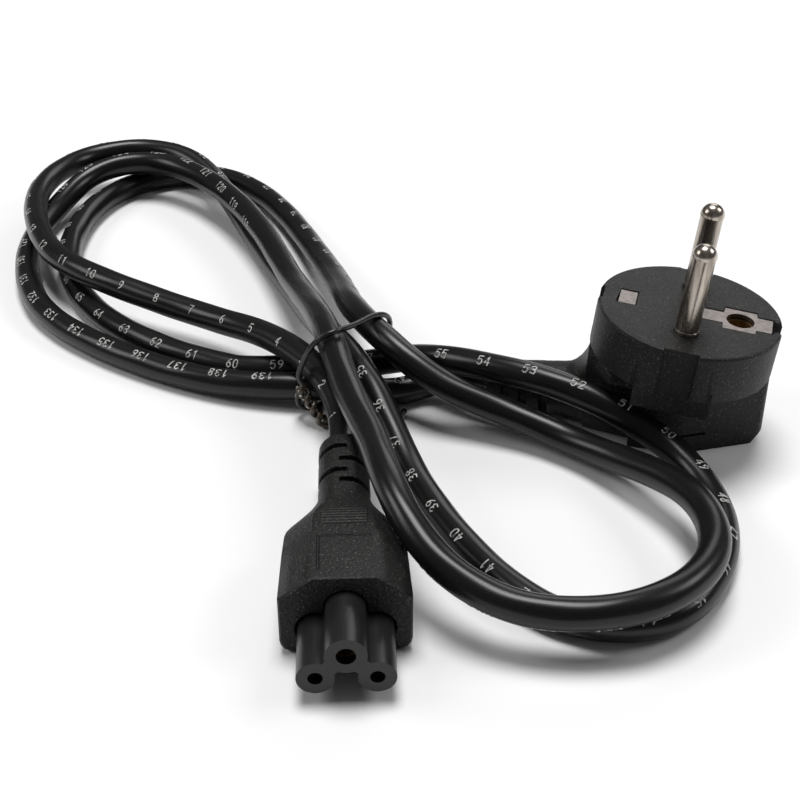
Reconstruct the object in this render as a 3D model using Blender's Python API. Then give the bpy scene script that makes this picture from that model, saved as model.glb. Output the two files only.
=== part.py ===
"""Mains cord for a small appliance, tied in a bundle: an angled plug with two round pins and an
earth contact, a round flexible cord, and a connector with three holes in a cloverleaf.

Metres, +Z up. Everything lies on a level surface at z = 0, and the origin is in that surface,
under the middle of the box around the plug and the connector. The plug lies on its back at the
back right with its pins up. The connector lies flat at the front left, its nose towards -Y.
"""

import math

import bmesh
import bpy
from mathutils import Matrix, Vector

# Clearances
GAP = 0.0003
OVERRUN = 0.0010
SEAT = 0.0005

# Fineness of round shapes
FINE_SIDES = 72
SMALL_SIDES = 24
SHARP_ANGLE = math.radians(32)

# Cord
CORD_DIAMETER = 0.0060
CORD_POINTS = 78
CORD_LEAD = 0.0045
CORD_BEND_WEIGHT = 0.015
CORD_BEVEL_STEPS = 4
WIRE_DIAMETER = 0.0012
WIRE_BEVEL_STEPS = 2
WIRE_POINT_SPACING = 0.0022

# Plug: where it lies, and how far its face leans towards its rounded end
PLUG_SPOT = (0.0298, 0.0305)
PLUG_TURN = math.radians(-15)
FACE_LEAN = math.radians(5.8)
FACE_HEIGHT = 0.0282

# Plug: round front part
DISC_RADIUS = 0.0184
DISC_THICKNESS = 0.0100
RIM_FILLET = 0.0006
GUIDE_WIDTH = 0.0068
GUIDE_DEPTH = 0.0011

# Plug: back part under the disc, pointed at one end and necked at the other
BACK_TIP = 0.0172
BACK_TIP_RADIUS = 0.0015
BACK_TIP_ANGLE = math.radians(29)
BACK_HALF_WIDTH = 0.0096
BACK_LENGTH = 0.0090
TIP_CHAMFER = (0.0019, 0.0029)
SHOULDER_HALF_WIDTH = 0.0130
SHOULDER_INSET = 0.0002
SHOULDER_BAND = (0.0115, 0.0165)
NECK_START = 0.0245
NECK_ROOT = 0.0189
NECK_WIDENING = 0.0009
NECK_SQUARENESS = 4.0

# Plug: grip blocks on both sides, and the short slots beside them
GRIP_WIDTH = 0.0150
GRIP_HEIGHT = 0.0043
GRIP_SETBACK = 0.0002
SLOT_LINE = (0.0054, 0.0008, 0.0005)
SLOT_LINE_HEIGHT = 0.0042
SLOT_LINE_PLACE = 0.0039

# Plug: strain relief
PLUG_RELIEF_END = 0.0400
PLUG_RELIEF_RADIUS = 0.0058
PLUG_RELIEF_END_RADIUS = 0.0049
PLUG_RELIEF_LIFT = 0.0002
PLUG_SLOT_PLACES = (0.0276, 0.0319, 0.0357)
PLUG_SLOT_HALF_ANGLE = math.radians(66)
SLOT_WIDTH = 0.0017
RELIEF_CORE_RADIUS = 0.0037
RELIEF_END_ROUNDING = 0.0007

# Plug: pins
PIN_DIAMETER = 0.0048
PIN_SPACING = 0.0190
PIN_LENGTH = 0.0190
PIN_ROOT = 0.0080

# Plug: earth strip, bent at both ends into the rim, and the earth socket under its ring
STRIP_THICKNESS = 0.0009
STRIP_SINK = 0.00015
TUNNEL_SINK = 0.0020
STRIP_HALF_WIDTH = 0.0021
STRIP_END_HALF_WIDTH = 0.0026
STRIP_LEG_HALF_WIDTH = 0.0014
RING_HALF_WIDTH = 0.00415
EARTH_PLACE = 0.0100
EARTH_RING_HOLE = 0.0056
EARTH_TUBE_OUTER = 0.0060
EARTH_TUBE_BORE = 0.0050
EARTH_TUBE_LENGTH = 0.0120
STRIP_LEFT_END = 0.0142
STRIP_LEFT_WINDOW = 0.0110
STRIP_RIGHT_WINDOW = 0.0015
STRIP_RIGHT_END = 0.0163
STRIP_LEG_DEPTH = 0.0076
STRIP_LEG_REACH = 0.0175
RECESS_CLEARANCE = 0.0006
RECESS_FLOOR = 0.0083
RECESS_LID = 0.0012
RECESS_NOTCH = 0.0010

# Connector: where it lies
CONNECTOR_SPOT = (-0.0370, -0.0380)
CONNECTOR_TURN = math.radians(2.3)

# Connector: body
CONNECTOR_LENGTH = 0.0480
BLOCK_HALF_WIDTH = 0.0112
BLOCK_HEIGHT = 0.0160
BLOCK_TAPER = 0.0006
FACET_HALF_WIDTH = 0.0053
FACET_LENGTH = 0.0130
SHOULDER_DROP = 0.0044
CORNER_RADIUS = 0.0026
TOP_FALL = 0.17
NARROWING = (0.0180, 0.0310)
CONNECTOR_RELIEF_RADIUS = 0.0049
CONNECTOR_AXIS_HEIGHT = 0.0080
CONNECTOR_SLOT_PLACES = (0.0357, 0.0325, 0.0435, 0.0393)
CONNECTOR_SLOT_SPAN = (math.radians(80), math.radians(262))
CONNECTOR_SLOT_WIDTH = 0.0015

# Connector: insert with its three lobes, and the contact sleeves in it
NOSE_LENGTH = 0.0117
INSERT_DEPTH = 0.0040
SIDE_LOBE_RADIUS = 0.00315
EARTH_LOBE_RADIUS = 0.00347
SIDE_HOLE_PLACE = 0.0050
SIDE_HOLE_HEIGHT = 0.0051
EARTH_HOLE_HEIGHT = 0.0096
SIDE_HOLE = 0.0025
EARTH_HOLE = 0.0033
WEB_WIDTH = 0.0030
MOUTH_DEPTH = 0.0015
SLEEVE_WALL = 0.0004
SLEEVE_STEP = 0.0006

# The cord's way between its two ends
CORD_ROUTE = (
    (-0.0392, 0.0180, 0.0083), (-0.0415, 0.0280, 0.0102), (-0.0475, 0.0395, 0.0110),
    (-0.0560, 0.0505, 0.0104), (-0.0680, 0.0618, 0.0082), (-0.0840, 0.0715, 0.0084),
    (-0.0985, 0.0800, 0.0095), (-0.1110, 0.0915, 0.0097), (-0.1190, 0.1070, 0.0096),
    (-0.1235, 0.1235, 0.0093), (-0.1235, 0.1410, 0.0088), (-0.1155, 0.1555, 0.0090),
    (-0.1015, 0.1600, 0.0095), (-0.0874, 0.1545, 0.0089), (-0.0765, 0.1410, 0.0055),
    (-0.0683, 0.1224, 0.0034), (-0.0603, 0.1020, 0.0031), (-0.0525, 0.0820, 0.0038),
    (-0.0465, 0.0630, 0.0072), (-0.0402, 0.0450, 0.0114), (-0.0326, 0.0280, 0.0092),
    (-0.0264, 0.0110, 0.0043), (-0.0199, -0.0050, 0.0030), (-0.0110, -0.0215, 0.0030),
    (0.0020, -0.0334, 0.0030), (0.0170, -0.0332, 0.0030), (0.0285, -0.0200, 0.0030),
    (0.0320, -0.0030, 0.0030), (0.0273, 0.0118, 0.0052), (0.0145, 0.0215, 0.0106),
    (0.0005, 0.0288, 0.0130), (-0.0113, 0.0358, 0.0122), (-0.0190, 0.0410, 0.0106),
    (-0.0262, 0.0462, 0.0077), (-0.0352, 0.0491, 0.0048), (-0.0500, 0.0477, 0.0044),
    (-0.0640, 0.0500, 0.0030), (-0.0800, 0.0580, 0.0030), (-0.0945, 0.0700, 0.0030),
    (-0.1060, 0.0870, 0.0030), (-0.1120, 0.1060, 0.0030), (-0.1125, 0.1260, 0.0030),
    (-0.1075, 0.1435, 0.0030), (-0.0960, 0.1550, 0.0030), (-0.0800, 0.1555, 0.0030),
    (-0.0660, 0.1432, 0.0030), (-0.0552, 0.1215, 0.0036), (-0.0474, 0.0978, 0.0058),
    (-0.0420, 0.0764, 0.0096), (-0.0380, 0.0570, 0.0139), (-0.0310, 0.0420, 0.0147),
    (-0.0200, 0.0325, 0.0102), (-0.0060, 0.0265, 0.0064), (0.0070, 0.0185, 0.0046),
    (0.0175, 0.0070, 0.0068), (0.0255, -0.0060, 0.0094), (0.0275, -0.0190, 0.0095),
    (0.0207, -0.0318, 0.0095), (0.0060, -0.0390, 0.0095), (-0.0104, -0.0369, 0.0097),
    (-0.0233, -0.0272, 0.0135), (-0.0298, -0.0140, 0.0174), (-0.0334, 0.0020, 0.0168),
    (-0.0379, 0.0180, 0.0166), (-0.0426, 0.0380, 0.0173), (-0.0475, 0.0580, 0.0142),
    (-0.0540, 0.0810, 0.0098), (-0.0620, 0.1050, 0.0093), (-0.0720, 0.1260, 0.0095),
    (-0.0845, 0.1425, 0.0097), (-0.0980, 0.1503, 0.0096), (-0.1112, 0.1470, 0.0082),
    (-0.1194, 0.1345, 0.0048), (-0.1230, 0.1160, 0.0030), (-0.1206, 0.0966, 0.0030),
    (-0.1124, 0.0769, 0.0030), (-0.0980, 0.0615, 0.0030), (-0.0810, 0.0500, 0.0030),
    (-0.0660, 0.0430, 0.0036), (-0.0520, 0.0398, 0.0046), (-0.0450, 0.0392, 0.0048),
    (-0.0380, 0.0389, 0.0043), (-0.0310, 0.0396, 0.0032), (-0.0245, 0.0417, 0.0032),
    (-0.0187, 0.0429, 0.0042),
)

# The tie: a twist at the front left, the turn around the bundle, and a loose end on the surface
TWIST_TOP = Vector((-0.0487, 0.0334, 0.0082))
TWIST_TIP = Vector((-0.0439, 0.0302, 0.0014))
TWIST_TURNS = 2
TWIST_STEPS = 20
TWIST_RADIUS = 0.00076
TIE_TURN = (
    (-0.0489, 0.0331, 0.0104), (-0.0484, 0.0331, 0.0134), (-0.0470, 0.0328, 0.0168),
    (-0.0446, 0.0328, 0.0200), (-0.0416, 0.0334, 0.0214), (-0.0386, 0.0368, 0.0207),
    (-0.0362, 0.0408, 0.0197), (-0.0337, 0.0446, 0.0190), (-0.0308, 0.0482, 0.0170),
    (-0.0302, 0.0504, 0.0134), (-0.0310, 0.0528, 0.0094), (-0.0321, 0.0545, 0.0050),
    (-0.0338, 0.0532, 0.0014), (-0.0365, 0.0498, 0.0007), (-0.0415, 0.0430, 0.0007),
    (-0.0462, 0.0376, 0.0008), (-0.0490, 0.0354, 0.0024), (-0.0496, 0.0346, 0.0050),
    (-0.0492, 0.0341, 0.0073),
)
TIE_LOOSE_END = (
    (-0.0416, 0.0304, 0.0008), (-0.0360, 0.0324, 0.0007), (-0.0310, 0.0336, 0.0007),
    (-0.0282, 0.0342, 0.0009), (-0.0269, 0.0343, 0.0020),
)


def material(name, colour, roughness, metallic=0.0):
    """Plain Principled material."""
    made = bpy.data.materials.new(name)
    made.use_nodes = True
    shader = made.node_tree.nodes["Principled BSDF"]
    shader.inputs["Base Color"].default_value = (*colour, 1.0)
    shader.inputs["Roughness"].default_value = roughness
    shader.inputs["Metallic"].default_value = metallic
    return made


def holder(name, place, turn, parent=None):
    """Empty that carries pieces in a frame of their own."""
    made = bpy.data.objects.new(name, None)
    made.location = place
    made.rotation_euler = turn
    made.parent = parent
    bpy.context.collection.objects.link(made)
    return made


def piece(name, shape, frame, finish=None):
    """Turn a bmesh into an object in the given frame."""
    bmesh.ops.recalc_face_normals(shape, faces=shape.faces)
    mesh = bpy.data.meshes.new(name)
    shape.to_mesh(mesh)
    shape.free()
    mesh.shade_smooth()
    mesh.set_sharp_from_angle(angle=SHARP_ANGLE)
    if finish:
        mesh.materials.append(finish)
    made = bpy.data.objects.new(name, mesh)
    made.parent = frame
    bpy.context.collection.objects.link(made)
    return made


def helper(name, shape, frame):
    """Shape that only cuts or adds to another one."""
    made = piece(name, shape, frame)
    made.hide_render = True
    made.display_type = "WIRE"
    return made


def combine(target, helpers, operation):
    """Add a Boolean to the target for each helper."""
    for other in helpers:
        change = target.modifiers.new(other.name, "BOOLEAN")
        change.operation = operation
        change.solver = "EXACT"
        change.object = other


def blend(low, high, share):
    """Value between low and high."""
    return low + (high - low) * share


def ease(value, low, high):
    """Smooth step from 0 at low to 1 at high."""
    share = min(max((value - low) / (high - low), 0.0), 1.0)
    return share * share * (3 - 2 * share)


def arc(centre, radius, start, end, steps):
    """Points along an arc in a plane, both ends included."""
    angles = [blend(start, end, i / steps) for i in range(steps + 1)]
    return [(centre[0] + radius * math.cos(a), centre[1] + radius * math.sin(a)) for a in angles]


def loft(rings, closed=False):
    """Skin through rings of equally many points: flat ends, or joined end to end if closed."""
    shape = bmesh.new()
    loops = [[shape.verts.new(point) for point in ring] for ring in rings]
    pairs = list(zip(loops, loops[1:]))
    if closed:
        pairs.append((loops[-1], loops[0]))
    for near, far in pairs:
        for i in range(len(near)):
            j = (i + 1) % len(near)
            shape.faces.new((near[i], near[j], far[j], far[i]))
    if not closed:
        shape.faces.new(loops[0])
        shape.faces.new(loops[-1])
    return shape


def turned(profile, sides, hollow=False):
    """Body turned about Z from (radius, height) points; a hollow one's profile is a closed loop."""
    turns = [2 * math.pi * i / sides for i in range(sides)]
    rings = [[(r * math.cos(a), r * math.sin(a), z) for a in turns] for r, z in profile]
    return loft(rings, closed=hollow)


def rod(radius, low, high, sides=SMALL_SIDES):
    """Plain cylinder about Z."""
    return turned([(radius, low), (radius, high)], sides)


def tube(outer, bore, low, high, sides=SMALL_SIDES):
    """Plain tube about Z."""
    return turned([(outer, low), (outer, high), (bore, high), (bore, low)], sides, hollow=True)


def box(low, high):
    """Box between two corners."""
    rings = []
    for z in (low[2], high[2]):
        corners = ((low[0], low[1]), (high[0], low[1]), (high[0], high[1]), (low[0], high[1]))
        rings.append([(x, y, z) for x, y in corners])
    return loft(rings)


def moved(shape, matrix):
    """The same shape, moved by a matrix."""
    bmesh.ops.transform(shape, matrix=matrix, verts=shape.verts)
    return shape


def sliced(shape, place, outward):
    """Cut away what lies beyond a plane and close the cut."""
    everything = shape.verts[:] + shape.edges[:] + shape.faces[:]
    bmesh.ops.bisect_plane(shape, geom=everything, plane_co=place, plane_no=outward, clear_outer=True)
    rim = [edge for edge in shape.edges if edge.is_boundary]
    bmesh.ops.holes_fill(shape, edges=rim, sides=0)
    return shape


def ring_sector(inner, outer, start, end, width):
    """Part of a flat ring about X, for a slot across a strain relief."""
    steps = 12
    outline = arc((0, 0), outer, start, end, steps) + arc((0, 0), inner, end, start, steps)
    return loft([[(x, y, z) for y, z in outline] for x in (-width / 2, width / 2)])


def spline(points, spacing):
    """Natural cubic spline through points, by chord length, with points about a spacing apart."""
    spans = [(b - a).length for a, b in zip(points, points[1:])]
    count = len(points)
    weights = [0.0] * count
    moments = [Vector((0, 0, 0)) for _ in points]
    for i in range(1, count - 1):
        pull = 6 * ((points[i + 1] - points[i]) / spans[i] - (points[i] - points[i - 1]) / spans[i - 1])
        pivot = 2 * (spans[i - 1] + spans[i]) - spans[i - 1] * weights[i - 1]
        weights[i] = spans[i] / pivot
        moments[i] = (pull - spans[i - 1] * moments[i - 1]) / pivot
    for i in range(count - 2, 0, -1):
        moments[i] -= weights[i] * moments[i + 1]
    curve = []
    for i, span in enumerate(spans):
        steps = max(1, round(span / spacing))
        for k in range(steps):
            near = span * k / steps
            far = span - near
            bow = (moments[i] * far**3 + moments[i + 1] * near**3) / (6 * span)
            chord_a = (points[i] / span - moments[i] * span / 6) * far
            chord_b = (points[i + 1] / span - moments[i + 1] * span / 6) * near
            curve.append(bow + chord_a + chord_b)
    curve.append(points[-1])
    return curve


def thinned(curve, count, bend_weight):
    """A given number of points along a fine curve, closer together where it bends."""
    steps = [(b - a).length for a, b in zip(curve, curve[1:])]
    dearness = []
    for i, step in enumerate(steps):
        turn = 0.0
        if i + 2 < len(curve):
            turn = (curve[i + 1] - curve[i]).angle(curve[i + 2] - curve[i + 1], 0.0)
        dearness.append(step + bend_weight * turn)
    total = sum(dearness)
    chosen = [curve[0]]
    passed = 0.0
    for i, cost in enumerate(dearness):
        while len(chosen) < count - 1 and passed + cost >= total * len(chosen) / (count - 1):
            share = (total * len(chosen) / (count - 1) - passed) / cost
            chosen.append(curve[i].lerp(curve[i + 1], share))
        passed += cost
    chosen.append(curve[-1])
    return chosen


def strand(name, points, diameter, bevel_steps, finish):
    """Round cord or wire along points, with its ends closed."""
    curve = bpy.data.curves.new(name, "CURVE")
    curve.dimensions = "3D"
    curve.bevel_depth = diameter / 2
    curve.bevel_resolution = bevel_steps
    curve.use_fill_caps = True
    curve.resolution_u = 1
    curve.render_resolution_u = 0
    line = curve.splines.new("POLY")
    line.points.add(len(points) - 1)
    for slot, point in zip(line.points, points):
        slot.co = (*point, 1.0)
    curve.materials.append(finish)
    made = bpy.data.objects.new(name, curve)
    bpy.context.collection.objects.link(made)
    return made


def plug_relief_radius(x):
    """Radius of the plug's strain relief at a distance from the face's middle."""
    share = (x - NECK_START) / (PLUG_RELIEF_END - NECK_START)
    return blend(PLUG_RELIEF_RADIUS, PLUG_RELIEF_END_RADIUS, share)


def inside_disc(x, depth):
    """Height along the plug of a plane that lies a little above the disc's underside."""
    middle = FACE_HEIGHT - (DISC_THICKNESS - depth) * math.cos(FACE_LEAN)
    shift = (DISC_THICKNESS - depth) * math.sin(FACE_LEAN)
    return middle - (x + shift) * math.tan(FACE_LEAN)


def neck_ring(x, half_width, low_half_width, bottom, top, squareness):
    """Rounded outline across the plug's neck, narrower near the surface than under the disc."""
    points = []
    steps = 40
    for i in range(steps):
        angle = 2 * math.pi * (i + 0.5) / steps
        across, up = math.cos(angle), math.sin(angle)
        y = half_width * math.copysign(abs(across) ** (2 / squareness), across)
        rise = math.copysign(abs(up) ** (2 / squareness), up)
        z = (top + bottom) / 2 + (top - bottom) / 2 * rise
        y *= blend(low_half_width / half_width, 1.0, ease(z, *SHOULDER_BAND))
        points.append((-x, y, z))
    return points


def neck_shape():
    """Strain relief and neck of the plug, running in under the disc."""
    rings = []
    ends = (
        (PLUG_RELIEF_END, RELIEF_END_ROUNDING),
        (PLUG_RELIEF_END - RELIEF_END_ROUNDING, 0.0),
        (NECK_START, 0.0),
    )
    for x, trim in ends:
        middle = plug_relief_radius(x) + PLUG_RELIEF_LIFT
        radius = plug_relief_radius(x) - trim
        rings.append(neck_ring(x, radius, radius, middle - radius, middle + radius, 2.0))
    relief_top = 2 * PLUG_RELIEF_RADIUS + PLUG_RELIEF_LIFT
    neck_half_width = PLUG_RELIEF_RADIUS + NECK_WIDENING
    steps = 7
    for i in range(1, steps + 1):
        angle = math.pi / 2 * i / steps
        x = blend(NECK_START, NECK_ROOT, math.sin(angle))
        share = 1 - math.cos(angle)
        width = blend(PLUG_RELIEF_RADIUS, neck_half_width, share)
        top = blend(relief_top, inside_disc(-NECK_ROOT, SEAT), share)
        bottom = blend(PLUG_RELIEF_LIFT, -SEAT, share)
        rings.append(neck_ring(x, width, width, bottom, top, blend(2.0, NECK_SQUARENESS, share)))
    disc_middle = (DISC_THICKNESS - SEAT) * math.sin(FACE_LEAN)
    steps = 8
    for i in range(1, steps + 1):
        x = blend(NECK_ROOT, BACK_LENGTH - 2 * SEAT, i / steps)
        chord = (DISC_RADIUS - SHOULDER_INSET) ** 2 - (x - disc_middle) ** 2
        width = max(neck_half_width, min(math.sqrt(max(chord, 0.0)), SHOULDER_HALF_WIDTH))
        low_width = blend(neck_half_width, BACK_HALF_WIDTH - SHOULDER_INSET, i / steps)
        top = inside_disc(-x, SEAT)
        rings.append(neck_ring(x, width, min(width, low_width), -SEAT, top, NECK_SQUARENESS))
    return loft(rings)


def back_shape():
    """Back part of the plug: upright walls and a rounded point, cut off inside the disc."""
    tip_middle = BACK_TIP - BACK_TIP_RADIUS
    apex = tip_middle + BACK_TIP_RADIUS / math.sin(BACK_TIP_ANGLE)
    corner = apex - BACK_HALF_WIDTH / math.tan(BACK_TIP_ANGLE)
    sweep = math.pi / 2 - BACK_TIP_ANGLE
    outline = arc((tip_middle, 0), BACK_TIP_RADIUS, -sweep, sweep, 8)
    outline += [(corner, BACK_HALF_WIDTH), (-BACK_LENGTH, BACK_HALF_WIDTH)]
    outline += [(-BACK_LENGTH, -BACK_HALF_WIDTH), (corner, -BACK_HALF_WIDTH)]
    shape = loft([[(x, y, z) for x, y in outline] for z in (-OVERRUN, FACE_HEIGHT)])
    lean = Vector((math.sin(FACE_LEAN), 0, math.cos(FACE_LEAN)))
    sliced(shape, (0, 0, inside_disc(0.0, 2 * SEAT)), lean)
    run, rise = TIP_CHAMFER
    return sliced(shape, (BACK_TIP, 0, rise), Vector((rise, 0, -run)).normalized())


def disc_shape():
    """Round front part of the plug, its rim rounded at the face."""
    fillet = arc((DISC_RADIUS - RIM_FILLET, -RIM_FILLET), RIM_FILLET, 0, math.pi / 2, 2)
    return turned([(DISC_RADIUS, -DISC_THICKNESS)] + fillet, FINE_SIDES)


def strip_path():
    """Middle line of the earth strip in the plug's upright plane: x, z and half width."""
    flat = -STRIP_SINK - STRIP_THICKNESS / 2
    tunnel = -TUNNEL_SINK - STRIP_THICKNESS / 2
    left = STRIP_LEFT_END - STRIP_THICKNESS / 2
    right = STRIP_RIGHT_END - STRIP_THICKNESS / 2
    ramp = TUNNEL_SINK - STRIP_SINK
    ring = EARTH_RING_HOLE / 2 + STRIP_THICKNESS / 2
    step = STRIP_SINK
    leg, end, ring_half = STRIP_LEG_HALF_WIDTH, STRIP_END_HALF_WIDTH, RING_HALF_WIDTH
    return [
        (-STRIP_LEG_REACH, -STRIP_LEG_DEPTH, leg),
        (-STRIP_LEG_REACH, 2 * tunnel, leg),
        (-left, tunnel, leg),
        (-left, flat - STRIP_THICKNESS, leg),
        (-left, flat - STRIP_THICKNESS + step, end),
        (-left, flat, end),
        (-STRIP_LEFT_WINDOW, flat, end),
        (-STRIP_LEFT_WINDOW + ramp, tunnel, STRIP_HALF_WIDTH),
        (STRIP_RIGHT_WINDOW - ramp, tunnel, STRIP_HALF_WIDTH),
        (STRIP_RIGHT_WINDOW, flat, STRIP_HALF_WIDTH),
        (EARTH_PLACE - ring - step, flat, STRIP_HALF_WIDTH),
        (EARTH_PLACE - ring, flat, ring_half),
        (EARTH_PLACE + ring - step, flat, ring_half),
        (EARTH_PLACE + ring, flat, end),
        (right, flat, end),
        (right, flat - STRIP_THICKNESS, end),
        (right, flat - STRIP_THICKNESS - step, leg),
        (right, tunnel, leg),
        (STRIP_LEG_REACH, 2 * tunnel, leg),
        (STRIP_LEG_REACH, -STRIP_LEG_DEPTH, leg),
    ]


def strip_shape(grow=0.0):
    """Earth strip as a bent band of even thickness, or the room around it."""
    path = strip_path()
    rings = []
    for i, (x, z, half_width) in enumerate(path):
        near = Vector(path[max(i - 1, 0)][:2])
        here = Vector((x, z))
        far = Vector(path[min(i + 1, len(path) - 1)][:2])
        ways = [way.normalized() for way in (here - near, far - here) if way.length > 0]
        normals = [Vector((-way.y, way.x)) for way in ways]
        mean = sum(normals, Vector((0, 0))).normalized()
        reach = (STRIP_THICKNESS / 2 + grow) / mean.dot(normals[0])
        upper, lower = here + mean * reach, here - mean * reach
        y = half_width + grow
        corners = ((upper, -y), (upper, y), (lower, y), (lower, -y))
        rings.append([(edge.x, side, edge.y) for edge, side in corners])
    return loft(rings)


def plug(frame, face, black, nickel, brass):
    """The plug: moulded body, two pins, earth strip and earth socket."""
    body = piece("plug_body", disc_shape(), face, black)
    added = [helper("plug_back", back_shape(), frame), helper("plug_neck", neck_shape(), frame)]
    grip_reach = DISC_RADIUS - GUIDE_DEPTH - GRIP_SETBACK
    grip_top, grip_bottom = 3 * SEAT - DISC_THICKNESS, -DISC_THICKNESS - GRIP_HEIGHT
    for side, name in ((-1, "front"), (1, "rear")):
        ends = sorted((side * (BACK_HALF_WIDTH - 2 * OVERRUN), side * grip_reach))
        grip = box((-GRIP_WIDTH / 2, ends[0], grip_bottom), (GRIP_WIDTH / 2, ends[1], grip_top))
        added.append(helper("grip_" + name, grip, face))
    combine(body, added, "UNION")

    reach = PLUG_RELIEF_END + OVERRUN
    floor = box((-reach, -DISC_RADIUS, -2 * OVERRUN), (reach, DISC_RADIUS, 0.0))
    cuts = [helper("flat_back", floor, frame), helper("strip_room", strip_shape(GAP), face)]
    outer = DISC_RADIUS + OVERRUN
    wide = STRIP_LEG_HALF_WIDTH + RECESS_CLEARANCE
    inner = STRIP_RIGHT_END - STRIP_THICKNESS - RECESS_CLEARANCE
    cuts.append(helper("recess_right", box((inner, -wide, -RECESS_FLOOR), (outer, wide, OVERRUN)), face))
    low, high = (-outer, -wide, -RECESS_FLOOR), (-STRIP_LEFT_END, wide, -RECESS_LID)
    cuts.append(helper("recess_left", box(low, high), face))
    wide += GAP
    notch = box((-outer, -wide, -2 * RECESS_LID), (RECESS_NOTCH - DISC_RADIUS, wide, OVERRUN))
    cuts.append(helper("recess_notch", notch, face))
    tube_top = -STRIP_SINK - STRIP_THICKNESS - GAP
    socket_floor = tube_top - EARTH_TUBE_LENGTH - GAP
    earth_place = Matrix.Translation((EARTH_PLACE, 0, 0))
    bore = moved(rod(EARTH_TUBE_OUTER / 2 + GAP, socket_floor, tube_top + GAP), earth_place)
    cuts.append(helper("earth_bore", bore, face))
    for side, name in ((-1, "front"), (1, "rear")):
        place = Matrix.Translation((0, side * PIN_SPACING / 2, 0))
        bore = moved(rod(PIN_DIAMETER / 2 + GAP, -PIN_ROOT - GAP, OVERRUN), place)
        cuts.append(helper("pin_bore_" + name, bore, face))
        ends = sorted((side * (DISC_RADIUS - GUIDE_DEPTH), side * outer))
        low = (-GUIDE_WIDTH / 2, ends[0], -DISC_THICKNESS - OVERRUN)
        guide = box(low, (GUIDE_WIDTH / 2, ends[1], OVERRUN))
        cuts.append(helper("guide_" + name, guide, face))
        cuts.append(helper("slot_line_" + name, slot_line(side), frame))
        for number, place in enumerate(PLUG_SLOT_PLACES):
            middle = 0.0 if side > 0 else math.pi
            radius = plug_relief_radius(place)
            slot = ring_sector(
                RELIEF_CORE_RADIUS, PLUG_RELIEF_RADIUS + OVERRUN,
                middle - PLUG_SLOT_HALF_ANGLE, middle + PLUG_SLOT_HALF_ANGLE, SLOT_WIDTH,
            )
            moved(slot, Matrix.Translation((-place, 0, radius + PLUG_RELIEF_LIFT)))
            cuts.append(helper(f"relief_slot_{name}_{number}", slot, frame))
    combine(body, cuts, "DIFFERENCE")

    for side, name in ((-1, "front"), (1, "rear")):
        dome = arc((0, PIN_LENGTH - PIN_DIAMETER / 2), PIN_DIAMETER / 2, 0, math.radians(80), 5)
        profile = [(PIN_DIAMETER / 2, -PIN_ROOT)] + dome
        pin = piece("pin_" + name, turned(profile, SMALL_SIDES), face, nickel)
        pin.location = (0, side * PIN_SPACING / 2, 0)

    strip = piece("earth_strip", strip_shape(), face, nickel)
    hole = moved(rod(EARTH_RING_HOLE / 2, -2 * STRIP_THICKNESS, OVERRUN), earth_place)
    combine(strip, [helper("ring_hole", hole, face)], "DIFFERENCE")
    socket = tube(EARTH_TUBE_OUTER / 2, EARTH_TUBE_BORE / 2, tube_top - EARTH_TUBE_LENGTH, tube_top)
    piece("earth_socket", socket, face, brass).location = (EARTH_PLACE, 0, 0)


def slot_line(side):
    """Thin slot in the slanting wall beside a grip."""
    length, depth, height = SLOT_LINE
    tip_middle = BACK_TIP - BACK_TIP_RADIUS
    apex = tip_middle + BACK_TIP_RADIUS / math.sin(BACK_TIP_ANGLE)
    wall = side * (apex - SLOT_LINE_PLACE) * math.tan(BACK_TIP_ANGLE)
    shape = box((-length / 2, -depth, -height / 2), (length / 2, depth, height / 2))
    moved(shape, Matrix.Rotation(-side * BACK_TIP_ANGLE, 4, "Z"))
    return moved(shape, Matrix.Translation((SLOT_LINE_PLACE, wall, SLOT_LINE_HEIGHT)))


def block_outline(half_width, top, bottom):
    """Connector's outline: flat top, sloping shoulders, upright sides, rounded lower corners."""
    side_top = top - SHOULDER_DROP
    corner = arc((half_width - CORNER_RADIUS, bottom + CORNER_RADIUS), CORNER_RADIUS, 0, -math.pi / 2, 4)
    right = [(FACET_HALF_WIDTH / 2, top), (FACET_HALF_WIDTH, top)]
    for share in (1 / 3, 2 / 3, 1.0):
        right.append((blend(FACET_HALF_WIDTH, half_width, share), blend(top, side_top, share)))
    right.append((half_width, (side_top + bottom + CORNER_RADIUS) / 2))
    right += corner
    right.append((half_width / 3, bottom))
    return right + [(-x, z) for x, z in reversed(right)]


def connector_shape():
    """Connector body: a block that narrows into a round strain relief."""
    middle, radius = CONNECTOR_AXIS_HEIGHT, CONNECTOR_RELIEF_RADIUS
    angles = [math.atan2(z - middle, x) for x, z in block_outline(BLOCK_HALF_WIDTH, BLOCK_HEIGHT, 0.0)]
    narrowing = [blend(*NARROWING, i / 8) for i in range(9)]
    places = [0.0, RELIEF_END_ROUNDING / 2, FACET_LENGTH] + narrowing
    places += [CONNECTOR_LENGTH - RELIEF_END_ROUNDING, CONNECTOR_LENGTH]
    trims = [RELIEF_END_ROUNDING / 2] + [0.0] * (len(places) - 2) + [RELIEF_END_ROUNDING]
    rings = []
    for y, trim in zip(places, trims):
        merge = ease(y, *NARROWING)
        half_width = BLOCK_HALF_WIDTH - BLOCK_TAPER * min(y / NARROWING[0], 1.0) - trim
        fall = TOP_FALL * min(max(y - FACET_LENGTH, 0.0), NARROWING[1] - FACET_LENGTH)
        top = BLOCK_HEIGHT - fall - trim
        ring = []
        for (x, z), angle in zip(block_outline(half_width, top, trim), angles):
            round_x = (radius - trim) * math.cos(angle)
            round_z = middle + (radius - trim) * math.sin(angle)
            ring.append((blend(x, round_x, merge), y, blend(z, round_z, merge)))
        rings.append(ring)
    return loft(rings)


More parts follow.
